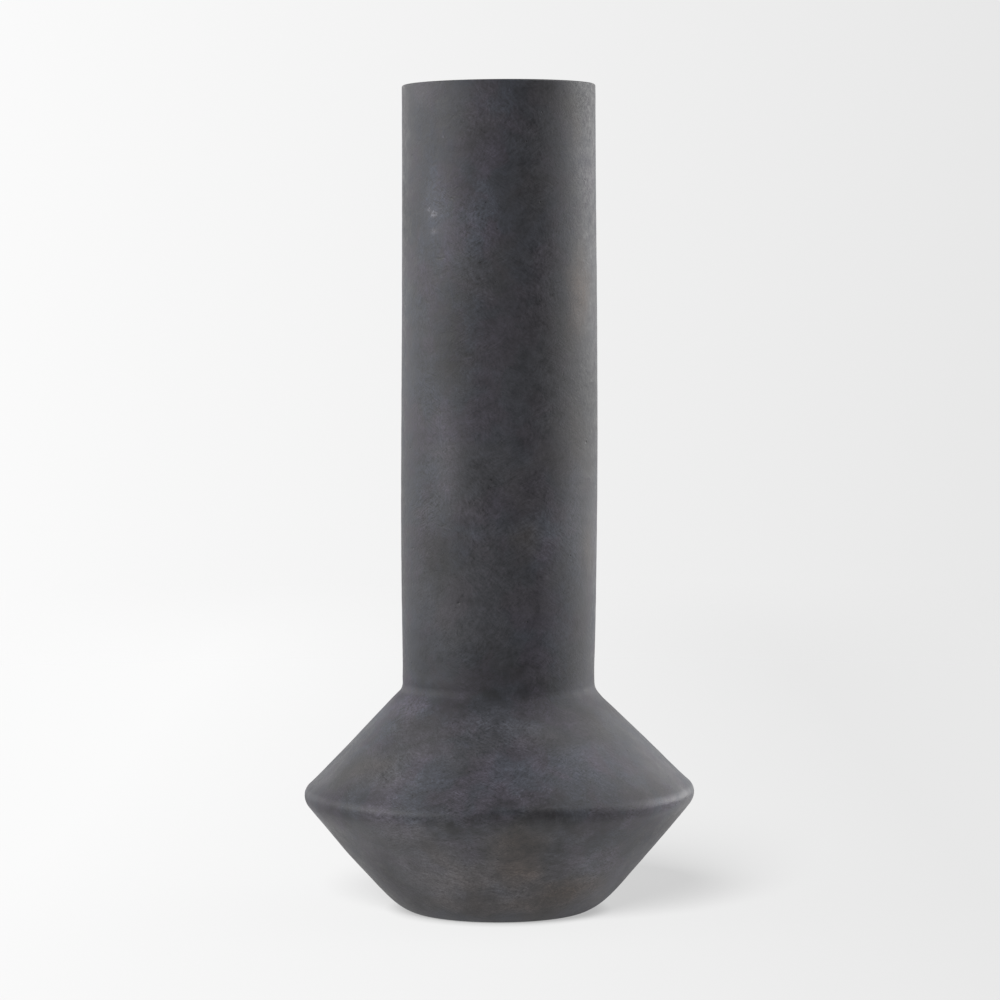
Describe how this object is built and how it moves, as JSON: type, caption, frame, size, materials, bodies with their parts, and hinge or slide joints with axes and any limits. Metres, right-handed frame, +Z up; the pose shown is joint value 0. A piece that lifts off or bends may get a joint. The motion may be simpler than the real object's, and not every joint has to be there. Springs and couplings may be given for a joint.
{
  "type": "stoneware pottery vase",
  "caption": "Tall dark stoneware vase: long straight neck on a low double-cone belly with a rounded ridge and a small round foot.",
  "frame": {"origin": "centre of the resting face under the foot", "axes": "+Z up along the vase's axis of revolution, from the foot to the mouth; the form is round, so X and Y are free, and the side seen in the picture faces -Y"},
  "size_m": [0.2131, 0.213, 0.45],
  "materials": {
    "stoneware": "dry matte charcoal with brushed, mottled surface",
    "fired_slip": "matte fired slip",
    "coil_clay": "matte fired clay, thumbed flat",
    "liner_glaze": "semi-gloss dark liner glaze"
  },
  "bodies": {
    "root": {"base": "stoneware", "foot_slip": "fired_slip", "foot_coil": "coil_clay", "lower_body": "stoneware", "belly_slip": "fired_slip", "belly_coil": "coil_clay", "shoulder": "stoneware", "neck_slip": "fired_slip", "neck": "stoneware", "liner_glaze": "liner_glaze"}
  },
  "joints": []
}
